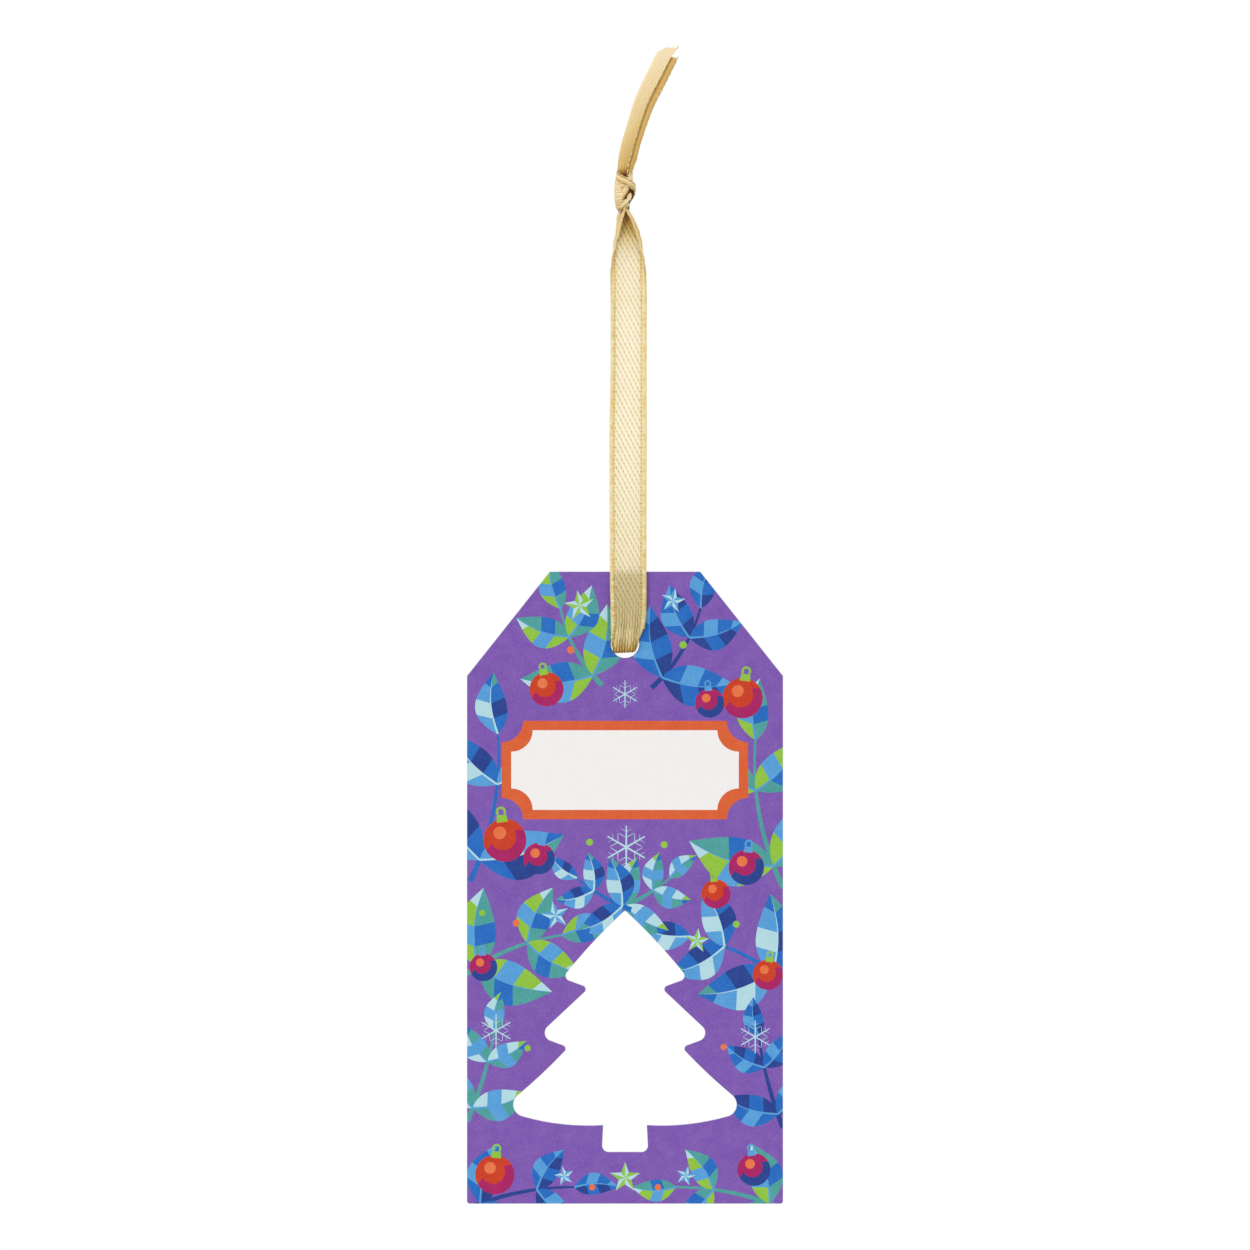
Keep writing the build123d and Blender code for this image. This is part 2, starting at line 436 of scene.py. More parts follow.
def moved_in(loop, amount):
    """A closed loop of points moved to its left by an amount."""
    ahead = np.roll(loop, -1) - loop
    ahead /= np.abs(ahead)
    behind = np.roll(ahead, 1)
    mitre = 1j * (ahead + behind) / (1 + (ahead * behind.conjugate()).real)
    return loop + amount * mitre


def around_left(outline):
    """An outline's points in the order that has its inside on the left."""
    area = (outline.conjugate() * np.roll(outline, -1)).imag.sum()
    return outline if area > 0 else outline[::-1]


cad_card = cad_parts["tag_card"].data
cad_front = []
place_digits = 5
for cad_face in cad_card.polygons:
    cad_corners = [cad_card.vertices[at].co for at in cad_face.vertices]
    if max(corner.y for corner in cad_corners) < card_low.y + edge_rounding:
        flat_corners = [(corner.x / mm, (corner.z - card_low.z) / mm) for corner in cad_corners]
        cad_front.append([(round(x, place_digits), round(z, place_digits)) for x, z in flat_corners])
cut_loops = [
    moved_in(np.array([complex(*corner) for corner in loop]), edge_rounding / mm)
    for loop in closed_loops(border_steps(cad_front))
]
cut_loops.sort(key=lambda loop: -np.ptp(loop.real))

regions = [(loop, purple) for loop in cut_loops] + print_shapes
region_corners = []
region_faces = []
for outline, colour in regions:
    outline = around_left(outline)
    region_faces.append(range(len(region_corners), len(region_corners) + len(outline)))
    region_corners.extend(Vector((point.real, point.imag)) for point in outline)
merge_distance = 1e-5
spots, _, pieces, _, _, owners = delaunay_2d_cdt(
    region_corners, [], region_faces, 0, merge_distance, True
)
openings = set(range(1, len(cut_loops)))
front_faces = []
front_inks = []
for piece, owner in zip(pieces, owners):
    if 0 in owner and not openings & set(owner):
        front_faces.append(list(piece))
        front_inks.append(regions[max(owner)][1])

used = sorted({corner for face in front_faces for corner in face})
renumbered = {corner: at for at, corner in enumerate(used)}
front_faces = [[renumbered[corner] for corner in face] for face in front_faces]
flat = np.array([complex(*spots[corner]) for corner in used])
ink_beside = {
    (face[k - 1], face[k]): colour for face, colour in zip(front_faces, front_inks) for k in range(3)
}


def card_layer(points, depth):
    return [(point.real * mm, depth, point.imag * mm + card_low.z) for point in points]


card_points = card_layer(flat, card_low.y) + card_layer(flat, card_high.y)
card_faces = front_faces + [[corner + len(flat) for corner in face[::-1]] for face in front_faces]
card_inks = front_inks + [shaded_board_back] * len(front_faces)
for loop in closed_loops(border_steps(front_faces)):
    outer = moved_in(flat[loop], -edge_rounding / mm)
    start = len(card_points)
    count = len(loop)
    card_points += card_layer(outer, card_low.y + edge_rounding)
    card_points += card_layer(outer, card_high.y - edge_rounding)
    for here in range(count):
        there = (here + 1) % count
        rails = (
            (loop[here], loop[there]),
            (start + here, start + there),
            (start + count + here, start + count + there),
            (loop[here] + len(flat), loop[there] + len(flat)),
        )
        printed = np.array(ink_beside[rails[0]])
        worn = tuple(printed + edge_wear * (np.array(board_white) - printed))
        for upper, lower, colour in zip(rails, rails[1:], (worn, board_white, board_white)):
            card_faces.append([upper[1], upper[0], lower[0], lower[1]])
            card_inks.append(colour)

card_mesh = bpy.data.meshes.new("printed_card")
card_mesh.from_pydata(card_points, [], card_faces)
ink_layer = card_mesh.attributes.new("ink", "FLOAT_COLOR", "CORNER")
corner_inks = [colour for face, colour in zip(card_faces, card_inks) for _ in face]
ink_layer.data.foreach_set("color", np.array(corner_inks).ravel())


def noise(tree, place, scale, detail):
    """The level of a noise texture at a place."""
    return add_node(
        tree, "ShaderNodeTexNoise", {"Vector": place, "Scale": scale, "Detail": detail}
    ).outputs[0]


noise_low, noise_high = 0.3, 0.7
printed_board, board_tree, board_shader = new_finish("printed_board")
board_place = add_node(board_tree, "ShaderNodeTexCoord").outputs["Object"]
printed_ink = add_node(board_tree, "ShaderNodeAttribute", attribute_name="ink").outputs["Color"]
ink_grain = noise(board_tree, board_place, 5200, 3.0)
ink_cloud = noise(board_tree, board_place, 420, 4.0)
grain_level = ramp(board_tree, ink_grain, noise_low, noise_high, 0.9, 1.1, "LINEAR")
cloud_level = ramp(board_tree, ink_cloud, noise_low, noise_high, 0.95, 1.05, "LINEAR")
board_gloss = ramp(board_tree, ink_cloud, noise_low, noise_high, 0.5, 0.62, "LINEAR")
ink_level = maths(board_tree, "MULTIPLY", grain_level, cloud_level)
grained_ink = add_node(board_tree, "ShaderNodeGamma", {"Color": printed_ink, "Gamma": ink_level})
board_fibre = add_node(
    board_tree, "ShaderNodeBump", {"Height": ink_grain, "Strength": 0.25, "Distance": 0.01 * mm}
)
plug(
    board_tree,
    board_shader,
    {
        "Base Color": grained_ink.outputs[0],
        "Roughness": board_gloss,
        "Normal": board_fibre.outputs[0],
        "Specular IOR Level": 0.3,
    },
)
card_mesh.materials.append(printed_board)

card = new_object("printed_card", card_mesh)
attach(card, "card")
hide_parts("tag_card")


# The two runs of the loop: gold satin ribbon, woven with a fine twill dash and a thick
# beaded selvedge along each edge. Each run rises from the hole, where it is gathered in
# folds, to the neck below the knot, and lies flat in between.

leg_low, leg_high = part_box("ribbon_front_leg")
ribbon_width = leg_high.x - leg_low.x
cloth_thickness = 0.24 * mm
threads_across = 61
station_step = 0.35 * mm
half_reach = np.linspace(0, ribbon_width / 2, threads_across // 2 + 1)
thread_step = half_reach[1]
flat_across = np.concatenate([-half_reach[:0:-1], half_reach])

# The weave, in millimetres across and along the flat ribbon. Each row of dashes is shifted
# by a share of their pitch, and their half sizes are shares of it too. At the hole, in the
# knot and at the foot of the tails they give way to dark lines: painted shade of the cloth's
# small gathers. The twill face ends at its edge, and lies a little aside.
dash_across = 0.764
dash_along = 0.63
dash_shift = 0.43
dash_slant = 0.2
dash_half_width = 0.16
dash_half_length = 0.68
dash_wander = 0.5
line_pitch = 0.46
line_wander = 4.0
lines_full, lines_end = 2.0, 9.5
face_edge = 2.06
face_aside = 0.09

# The share of the light from behind that comes through: on the twill side, on that of the
# back run, which is sheerer, on the smooth side, through the selvedge's thread, and what is
# left of it where other cloth lies behind.
twill_glow = 0.4
sheer_glow = 0.6
smooth_glow = 0.97
thread_glow = 0.3
backed_glow = 0.12

# Painted shade makes cloth deeper and darker in folds, creases and recesses, and cloth on other cloth is
# painted less yellow, in place of the pale light that comes through free cloth.
shade_gamma = 2.2
shade_tint = (0.52, 0.44, 0.42)
backed_tint = (1.0, 0.97, 1.38)


def vectors(tree, operation, *values):
    """The result of a vector maths node on values or sockets."""
    return add_node(tree, "ShaderNodeVectorMath", dict(enumerate(values)), operation=operation).outputs[0]


def mixed(tree, share, first, second):
    """A colour between two colours."""
    return add_node(
        tree, "ShaderNodeMix", {0: share, 6: first, 7: second}, data_type="RGBA"
    ).outputs[2]


def let_light_through(tree, shader, share, colour, bump):
    """Thin cloth: a share of the light from behind comes through the weave in this colour."""
    behind = add_node(tree, "ShaderNodeBsdfTranslucent", {"Color": colour, "Normal": bump})
    both = add_node(
        tree, "ShaderNodeMixShader", {0: share, 1: shader.outputs[0], 2: behind.outputs[0]}
    )
    tree.links.new(both.outputs[0], tree.nodes["Material Output"].inputs["Surface"])


def satin_cloth(name, twill_share, dot):
    """Satin that shows its weave in the ribbon's own flat measures, in millimetres.

    Twill share is how much of the light its twill side lets through, and dot is the
    colour of the stitches along its two seams.
    """
    pale = ink("F4D67E"), ink("FFF6B4")
    dashed = ink("B99C50")
    strip = ink("FDEA9C")
    inner = ink("F3D78A")
    through = ink("F6F7FF"), ink("DCD4B0")
    cloth, tree, shader = new_finish(name)

    def times(first, second):
        return maths(tree, "MULTIPLY", first, second)

    def step(value, low, high, start=0.0, end=1.0):
        return ramp(tree, value, low, high, start, end)

    def own(attribute, output):
        return add_node(tree, "ShaderNodeAttribute", attribute_name=attribute).outputs[output]

    def on_twill(rest):
        """All on the twill side, and only this rest on the smooth side."""
        return step(smooth_side, 0.0, 1.0, 1.0, rest)

    weave = own("weave", "Vector")
    across, along, smooth_side = add_node(tree, "ShaderNodeSeparateXYZ", {0: weave}).outputs
    painted_shade = own("painted_shade", "Fac")
    backed = own("backed", "Fac")
    wobble = noise(tree, weave, 1.3, 3.0)
    streak = noise(tree, vectors(tree, "MULTIPLY", weave, (3.2, 0.18, 1.0)), 1.0, 2.0)

    rows = maths(tree, "MULTIPLY_ADD", wobble, dash_wander, maths(tree, "DIVIDE", along, dash_along))
    in_row = maths(tree, "SUBTRACT", maths(tree, "FRACT", rows), 0.5)
    columns = maths(tree, "DIVIDE", across, dash_across)
    shifted = maths(tree, "MULTIPLY_ADD", maths(tree, "FLOOR", rows), dash_shift, columns)
    in_column = maths(tree, "SUBTRACT", maths(tree, "FRACT", shifted), 0.5)
    in_column = maths(tree, "MULTIPLY_ADD", in_row, dash_slant, in_column)
    wide = maths(tree, "POWER", maths(tree, "DIVIDE", in_column, dash_half_width), 2.0)
    high = maths(tree, "POWER", maths(tree, "DIVIDE", in_row, dash_half_length), 2.0)
    oval = maths(tree, "SQRT", maths(tree, "ADD", wide, high))
    dash = times(step(oval, 0.3, 1.1, 1.0, 0.0), step(wobble, 0.2, 0.6, 0.4, 1.0))

    # Painted shade: near the start of a piece the dashes give way to dark lines, the shade of the cloth's
    # small gathers.
    near_end = step(along, lines_full, lines_end, 1.0, 0.0)
    away = maths(tree, "SUBTRACT", 1.0, near_end)
    waves = maths(tree, "MULTIPLY_ADD", across, 2 * math.pi / line_pitch, times(wobble, line_wander))
    lines = times(step(maths(tree, "COSINE", waves), -0.1, 0.9), step(streak, 0.3, 0.6, 0.35, 1.0))
    dash = maths(tree, "ADD", times(lines, near_end), times(dash, away))
    dash = times(dash, on_twill(0.12))
    crown_line = maths(tree, "MULTIPLY_ADD", rows, dash_shift, columns)
    crown = maths(tree, "COSINE", times(crown_line, 2 * math.pi))
    crown = times(step(crown, -0.6, 1.0), on_twill(0.25))

    from_middle = maths(tree, "ABSOLUTE", maths(tree, "ADD", across, face_aside))
    border = times(step(from_middle, face_edge - 0.08, face_edge + 0.06), on_twill(0.1))
    seam = times(border, step(from_middle, face_edge + 0.2, face_edge + 0.4, 1.0, 0.0))
    rim = times(border, step(from_middle, face_edge + 0.72, face_edge + 0.9))
    edges = maths(tree, "MAXIMUM", seam, rim)
    pulses = maths(tree, "SINE", times(along, 2 * math.pi / dash_along))
    dots = times(times(seam, step(pulses, 0.0, 0.9)), step(wobble, 0.38, 0.62, 0.25, 1.0))

    # Painted sheen: the face is made lighter on the thread crowns and along lengthwise streaks.
    lit = maths(tree, "MULTIPLY_ADD", crown, 0.6, times(streak, 0.4))
    colour = mixed(tree, lit, *pale)
    for share, tone in ((dash, dashed), (border, strip), (edges, inner), (dots, dot)):
        colour = mixed(tree, share, colour, tone)
    # Painted shade: the colour is deepened and darkened by the painted shade attribute, and lightened
    # where it is below zero; where other cloth lies behind, it is tinted less yellow in place of the
    # light that comes through free cloth.
    depth = maths(tree, "MULTIPLY_ADD", painted_shade, shade_gamma - 1, 1.0)
    shade_deepened = add_node(tree, "ShaderNodeGamma", {0: colour, 1: depth}).outputs[0]
    shade = vectors(tree, "MULTIPLY_ADD", painted_shade, [tint - 1 for tint in shade_tint], (1, 1, 1))
    painted_shading = vectors(tree, "MULTIPLY", shade_deepened, shade)
    tinted_where_backed = vectors(tree, "MULTIPLY", painted_shading, backed_tint)

    threads = maths(tree, "MULTIPLY_ADD", streak, 0.5, times(crown, 0.35))
    relief = maths(tree, "SUBTRACT", threads, maths(tree, "ADD", dash, times(dots, 0.6)))
    bump = add_node(
        tree, "ShaderNodeBump", {"Height": relief, "Strength": 0.6, "Distance": 0.03 * mm}
    ).outputs[0]
    plug(
        tree,
        shader,
        {
            "Base Color": mixed(tree, backed, painted_shading, tinted_where_backed),
            "Roughness": step(dash, 0.0, 1.0, 0.36, 0.55),
            "Normal": bump,
            "Sheen Weight": 0.05,
            "Specular IOR Level": 0.2,
        },
    )
    glow_share = times(
        step(smooth_side, 0.0, 1.0, twill_share, smooth_glow),
        step(maths(tree, "MAXIMUM", backed, painted_shade), 0.0, 1.0, 1.0, backed_glow),
    )
    closed = maths(tree, "MAXIMUM", edges, dash)
    let_light_through(tree, shader, glow_share, mixed(tree, closed, *through), bump)
    return cloth


gold_satin = satin_cloth("gold_satin", twill_glow, ink("BD8A42"))
sheer_satin = satin_cloth("sheer_satin", sheer_glow, ink("BD8A42"))
tail_satin = satin_cloth("tail_satin", twill_glow, ink("F2DA8C"))

gold_thread, thread_tree, thread_shader = new_finish("gold_thread")
thread_place = add_node(thread_tree, "ShaderNodeTexCoord").outputs["Object"]
thread_shade = ramp(thread_tree, noise(thread_tree, thread_place, 900, 2.0), 0.35, 0.65)
thread_strands = noise(thread_tree, thread_place, 6500, 2.0)
thread_bump = add_node(
    thread_tree, "ShaderNodeBump", {"Height": thread_strands, "Strength": 0.5, "Distance": 0.03 * mm}
).outputs[0]
plug(
    thread_tree,
    thread_shader,
    {
        "Base Color": mixed(thread_tree, thread_shade, ink("F3D788"), ink("FFFADA")),
        "Roughness": ramp(thread_tree, thread_strands, noise_low, noise_high, 0.32, 0.5),
        "Normal": thread_bump,
        "Specular IOR Level": 0.25,
    },
)
let_light_through(thread_tree, thread_shader, thread_glow, ink("F8EBC4"), thread_bump)


def smooth_line(points):
    """Points along the NURBS spline that has these points, in millimetres, as its controls."""
    curve = bpy.data.curves.new("ribbon_line", "CURVE")
    curve.dimensions = "3D"
    curve.resolution_u = 24
    spline = curve.splines.new("NURBS")
    spline.points.add(len(points) - 1)
    for control, point in zip(spline.points, points):
        control.co = (point[0] * mm, point[1] * mm, point[2] * mm, 1)
    spline.order_u = 3
    spline.use_endpoint_u = True
    holder = new_object("ribbon_line", curve)
    drawn = bpy.data.meshes.new_from_object(holder)
    line = np.array([vertex.co for vertex in drawn.vertices])
    bpy.data.objects.remove(holder)
    bpy.data.curves.remove(curve)
    bpy.data.meshes.remove(drawn)
    return line


def unit(arrows):
    return arrows / np.linalg.norm(arrows, axis=-1, keepdims=True)


def distances(line):
    """How far along a line each of its points is."""
    steps = np.linalg.norm(np.diff(line, axis=0), axis=1)
    return np.concatenate([[0], np.cumsum(steps)])


def at_distance(line, along):
    """The points of a line at given distances along it, and the directions there."""
    known = distances(line)
    points = np.stack([np.interp(along, known, line[:, axis]) for axis in range(3)], axis=-1)
    slopes = unit(np.gradient(line, known, axis=0))
    ways = unit(np.stack([np.interp(along, known, slopes[:, axis]) for axis in range(3)], axis=-1))
    return points, ways


def stations(line, step=station_step):
    """Even steps along a line: how far along it they are, their points and directions."""
    length = distances(line)[-1]
    along = np.linspace(0, length, int(length / step) + 1)
    return (along, *at_distance(line, along))


def eased(share):
    """A share from 0 to 1 that starts and ends gently."""
    share = np.clip(share, 0, 1)
    return share * share * (3 - 2 * share)


def keyed(heights, table):
    """Columns of a table of (height, values...) rows, smoothly read at the given heights."""
    rows = np.array(sorted(table))
    above = np.clip(np.searchsorted(rows[:, 0], heights), 1, len(rows) - 1)
    low, high = rows[above - 1, 0], rows[above, 0]
    share = eased((heights - low) / (high - low))
    return [values[above - 1] + share * (values[above] - values[above - 1]) for values in rows.T[1:]]


def summed(slopes):
    """How far each thread lies from the first one, from the cloth's slopes at all of them."""
    rises = (slopes[..., 1:] + slopes[..., :-1]) * thread_step / 2
    return np.concatenate([0 * slopes[..., :1], np.cumsum(rises, axis=-1)], axis=-1)


def half_section(fold_start, fold_end, turn):
    """Sideways and forward reach of one half of the ribbon, whose edge turns over at a fold."""
    share = (half_reach - fold_start[:, None]) / (fold_end - fold_start)[:, None]
    heading = np.radians(turn)[:, None] * eased(share)
    return summed(np.cos(heading)), summed(np.sin(heading))


def both_halves(left, right):
    """Sideways and forward reach of all threads, from the two halves of the ribbon."""
    sideways = np.concatenate([-left[0][:, :0:-1], right[0]], axis=1)
    forward = np.concatenate([left[1][:, :0:-1], right[1]], axis=1)
    return sideways, forward


def grid_facing(grid):
    """The direction that the cloth faces at each point of its grid."""
    along, across = np.gradient(grid, axis=(0, 1))
    return unit(np.cross(across, along))


cut_edge_angle = math.radians(55)


def cloth_piece(name, grid, along, twill_out, painted_shade, backed, satin=gold_satin):
    """A closed sheet of satin over a grid, with its twill facing out or behind.

    Painted shade makes its colour deeper and darker, and lighter where it is below zero, and backed says
    how much other cloth lies behind it; where either is set, less light comes through. Both come in
    pairs, for the twill and for the smooth side.
    """
    rows, threads = grid.shape[:2]
    lift = grid_facing(grid) * cloth_thickness / 2
    points = np.concatenate([(grid + lift).reshape(-1, 3), (grid - lift).reshape(-1, 3)])
    number = np.arange(rows * threads).reshape(rows, threads)
    under = number + rows * threads
    quads = [
        (number[:-1, :-1], number[:-1, 1:], number[1:, 1:], number[1:, :-1]),
        (under[:-1, :-1], under[1:, :-1], under[1:, 1:], under[:-1, 1:]),
        (number[0, :-1], under[0, :-1], under[0, 1:], number[0, 1:]),
        (number[-1, :-1], number[-1, 1:], under[-1, 1:], under[-1, :-1]),
        (number[:-1, 0], number[1:, 0], under[1:, 0], under[:-1, 0]),
        (number[:-1, -1], under[:-1, -1], under[1:, -1], number[1:, -1]),
    ]
    faces = np.concatenate([np.stack(quad, axis=-1).reshape(-1, 4) for quad in quads])
    mesh = bpy.data.meshes.new(name)
    mesh.from_pydata(points.tolist(), [], faces.tolist())
    mesh.polygons.foreach_set("use_smooth", [True] * len(mesh.polygons))
    mesh.set_sharp_from_angle(angle=cut_edge_angle)
    measures = np.zeros((2, rows, threads, 3))
    measures[..., 0] = np.linspace(-0.5, 0.5, threads) * ribbon_width / mm
    measures[..., 1] = np.asarray(along)[:, None] / mm
    measures[1 if twill_out else 0, ..., 2] = 1.0
    weave = mesh.attributes.new("weave", "FLOAT_VECTOR", "POINT")
    weave.data.foreach_set("vector", measures.ravel())
    for state_name, state in (("painted_shade", painted_shade), ("backed", backed)):
        by_side = np.stack([np.broadcast_to(side, (rows, threads)) for side in state])
        layer = mesh.attributes.new(state_name, "FLOAT", "POINT")
        layer.data.foreach_set("value", by_side[:: 1 if twill_out else -1].ravel())
    mesh.materials.append(satin)
    return new_object(name, mesh)


selvedge_inset = 0.36 * mm
stitch_pitch = 0.95 * mm
stitch_length = 1.08 * mm
stitch_width = 0.56 * mm
stitch_depth = 0.42 * mm
stitch_seed = 7


def line_tree(name, sizes):
    """A node tree for things along lines, its given sockets, and its points along the lines."""
    tree = bpy.data.node_groups.new(name, "GeometryNodeTree")
    kinds = {"Lines": "NodeSocketGeometry", "Thread": "NodeSocketMaterial"}
    kinds.update({size_name: "NodeSocketFloat" for size_name in sizes})
    for input_name, kind in kinds.items():
        tree.interface.new_socket(input_name, in_out="INPUT", socket_type=kind)
    tree.interface.new_socket("Pieces", in_out="OUTPUT", socket_type="NodeSocketGeometry")
    given = add_node(tree, "NodeGroupInput").outputs
    curve = add_node(tree, "GeometryNodeMeshToCurve", {"Mesh": given["Lines"]})
    points = add_node(
        tree,
        "GeometryNodeResampleCurve",
        {"Curve": curve.outputs[0], "Length": given["Pitch"]},
        mode="LENGTH",
    )
    return tree, given, points.outputs[0]


def line_way(tree):
    """The way that the lines' points carry for what is set on them."""
    return add_node(
        tree, "GeometryNodeInputNamedAttribute", {"Name": "way"}, data_type="FLOAT_VECTOR"
    ).outputs[0]


def varied(tree, low, high, seed):
    """A random vector for each point, between two vectors."""
    return add_node(
        tree, "FunctionNodeRandomValue", {"Min": low, "Max": high, "Seed": seed}, data_type="FLOAT_VECTOR"
    ).outputs[0]


def end_tree(tree, points, shape, turn, size, thread):
    """End a tree with a shape on each point, as one real mesh in its thread."""
    placed = add_node(
        tree,
        "GeometryNodeInstanceOnPoints",
        {"Points": points, "Instance": shape, "Rotation": turn, "Scale": size},
    )
    real = add_node(tree, "GeometryNodeRealizeInstances", {0: placed.outputs[0]})
    finished = add_node(
        tree, "GeometryNodeSetMaterial", {"Geometry": real.outputs[0], "Material": thread}
    )
    add_node(tree, "NodeGroupOutput", {0: finished.outputs[0]})


stitch_tree, stitch_given, stitch_points = line_tree(
    "selvedge_stitches", ("Pitch", "Length", "Width", "Depth")
)
edge_way = add_node(stitch_tree, "GeometryNodeInputTangent").outputs[0]
along_edge = add_node(
    stitch_tree, "FunctionNodeAlignRotationToVector", {"Vector": edge_way}, axis="X"
)
flat_on_cloth = add_node(
    stitch_tree,
    "FunctionNodeAlignRotationToVector",
    {"Rotation": along_edge.outputs[0], "Vector": line_way(stitch_tree)},
    axis="Z",
    pivot_axis="X",
)
bead = add_node(
    stitch_tree, "GeometryNodeMeshUVSphere", {"Segments": 8, "Rings": 6, "Radius": 0.5}
)
smooth_bead = add_node(stitch_tree, "GeometryNodeSetShadeSmooth", {0: bead.outputs[0]})
bead_size = add_node(
    stitch_tree,
    "ShaderNodeCombineXYZ",
    {0: stitch_given["Length"], 1: stitch_given["Width"], 2: stitch_given["Depth"]},
)
sized_bead = add_node(
    stitch_tree,
    "GeometryNodeTransform",
    {"Geometry": smooth_bead.outputs[0], "Scale": bead_size.outputs[0]},
)
end_tree(
    stitch_tree,
    stitch_points,
    sized_bead.outputs[0],
    flat_on_cloth.outputs[0],
    varied(stitch_tree, (0.88, 0.86, 0.9), (1.06, 1.1, 1.1), stitch_seed),
    stitch_given["Thread"],
)


def grown(name, points, ways, edges, tree, values):
    """What a node tree makes on lines of points, each with a way, as a plain mesh."""
    lines = bpy.data.meshes.new(name)
    lines.from_pydata(points.tolist(), edges, [])
    carried = lines.attributes.new("way", "FLOAT_VECTOR", "POINT")
    carried.data.foreach_set("vector", ways.ravel())
    holder = new_object(name, lines)
    modifier = holder.modifiers.new(tree.name, "NODES")
    modifier.node_group = tree
    for socket in tree.interface.items_tree:
        if socket.name in values:
            modifier[socket.identifier] = values[socket.name]
    holder.update_tag()
    ready = holder.evaluated_get(bpy.context.evaluated_depsgraph_get())
    made = bpy.data.meshes.new_from_object(ready)
    holder.modifiers.clear()
    holder.data = made
    return holder


def selvedge(name, grid, inset=selvedge_inset, width=stitch_width):
    """The beaded stitches along both edges of a ribbon's grid."""
    facing = grid_facing(grid)
    threads_in = int(round(inset / thread_step))
    columns = (threads_in, -1 - threads_in)
    rows = len(grid)
    return grown(
        name,
        np.concatenate([grid[:, column] for column in columns]),
        np.concatenate([facing[:, column] for column in columns]),
        [(rows * edge + row, rows * edge + row + 1) for edge in range(2) for row in range(rows - 1)],
        stitch_tree,
        {
            "Pitch": stitch_pitch,
            "Length": stitch_length,
            "Width": width,
            "Depth": stitch_depth * width / stitch_width,
            "Thread": gold_thread,
        },
    )


# Height, then left fold start, fold end and turn, right fold start, fold end and turn,
# in millimetres and degrees, the share of its size that the section keeps, and pleat depth.
gather = [
    (-69.6, 1.70, 2.25, -120, 1.45, 2.0, -172, 0.93, 0.03),
    (-68.3, 2.05, 2.6, -120, 1.75, 2.3, -172, 0.945, 0.1),
    (-67.4, 2.20, 2.75, -90, 2.0, 2.55, -170, 0.92, 0.1),
    (-66.6, 2.25, 2.8, -66, 2.20, 2.75, -158, 0.905, 0.09),
    (-65.7, 2.40, 2.95, -46, 2.65, 3.2, -60, 0.91, 0.06),
    (-63.0, 2.55, 3.2, -18, 2.8, 3.4, -12, 0.945, 0.02),
    (-59.0, 2.6, 3.4, 4, 2.6, 3.4, 4, 0.967, 0.0),
    (-36.0, 2.6, 3.4, 4, 2.6, 3.4, 4, 0.985, 0.0),
    (-24.0, 2.6, 3.4, 6, 2.6, 3.4, 6, 0.955, 0.0),
    (-14.0, 2.6, 3.4, 10, 2.6, 3.4, 10, 0.955, 0.0),
]
pleat_pitch = 0.62 * mm
pleat_wander = 0.7


def run_grid(points, spine_way, across_way, table, face_sign):
    """The grid of a ribbon run: its spine, with the section that a table gives by height."""
    columns = keyed(points[:, 2] / mm, table)
    left_start, left_end, left_turn, right_start, right_end, right_turn, squeeze, pleat = columns
    sideways, forward = both_halves(
        half_section(left_start * mm, left_end * mm, left_turn),
        half_section(right_start * mm, right_end * mm, right_turn),
    )
    ripple = np.cos(2 * np.pi * flat_across / pleat_pitch + pleat_wander * np.sin(flat_across / mm))
    forward = forward + pleat[:, None] * mm * ripple
    facing = unit(np.cross(across_way, spine_way)) * face_sign
    return (
        points[:, None]
        + across_way[:, None] * (sideways * squeeze[:, None])[..., None]
        + facing[:, None] * (forward * squeeze[:, None])[..., None]
    )


def by_height(points, heights, values):
    """Values for the rows of a grid, read from a table by the height of its points in millimetres."""
    return np.interp(points[:, 2] / mm, heights, values)[:, None]


def hole_shade(points):
    """Painted shade near the bottom of the hole, where the ribbon turns down and in, the same on both of
    its sides.
    """
    return [by_height(points, (-69.4, -68.3, -66.8), (0.8, 0.2, 0.0))] * 2


front_run_points = [
    (0.15, -0.84, -68.3),
    (0.32, -0.84, -66.6),
    (0.56, -0.80, -64.0),
    (0.50, -0.74, -58.0),
    (0.50, -0.80, -47.0),
    (0.50, -0.86, -35.0),
    (0.60, -0.80, -22.0),
    (0.60, -0.70, -14.0),
]
sides = (("front", 1), ("back", -1))
run_satin = {"front": gold_satin, "back": sheer_satin}
rightward = np.array([1.0, 0.0, 0.0])
run_pieces = {}
run_lines = {}
for side, face_sign in sides:
    route = [(x, y * face_sign, z) for x, y, z in front_run_points]
    along, points, ways = stations(smooth_line(route))
    across_ways = np.tile(rightward, (len(along), 1))
    grid = run_grid(points, ways, across_ways, gather, face_sign)
    # Painted shade near the bottom of the hole, on both sides of the run.
    run_hole_shade = hole_shade(points)
    run = cloth_piece(f"{side}_ribbon", grid, along, side == "front", run_hole_shade, run_hole_shade, run_satin[side])
    beads = selvedge(f"{side}_ribbon_selvedge", grid)
    for piece in (run, beads):
        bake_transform(piece)
    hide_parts(f"ribbon_{side}_leg", f"ribbon_{side}_fold", f"ribbon_{side}_lap")
    run_pieces[side] = [run, beads]
    run_lines[side] = points


# The turn in the hole: the same ribbon, gathered in folds, goes from the front run
# through the punched hole and up into the back run. It lies loose above the lower
# edge of the hole.

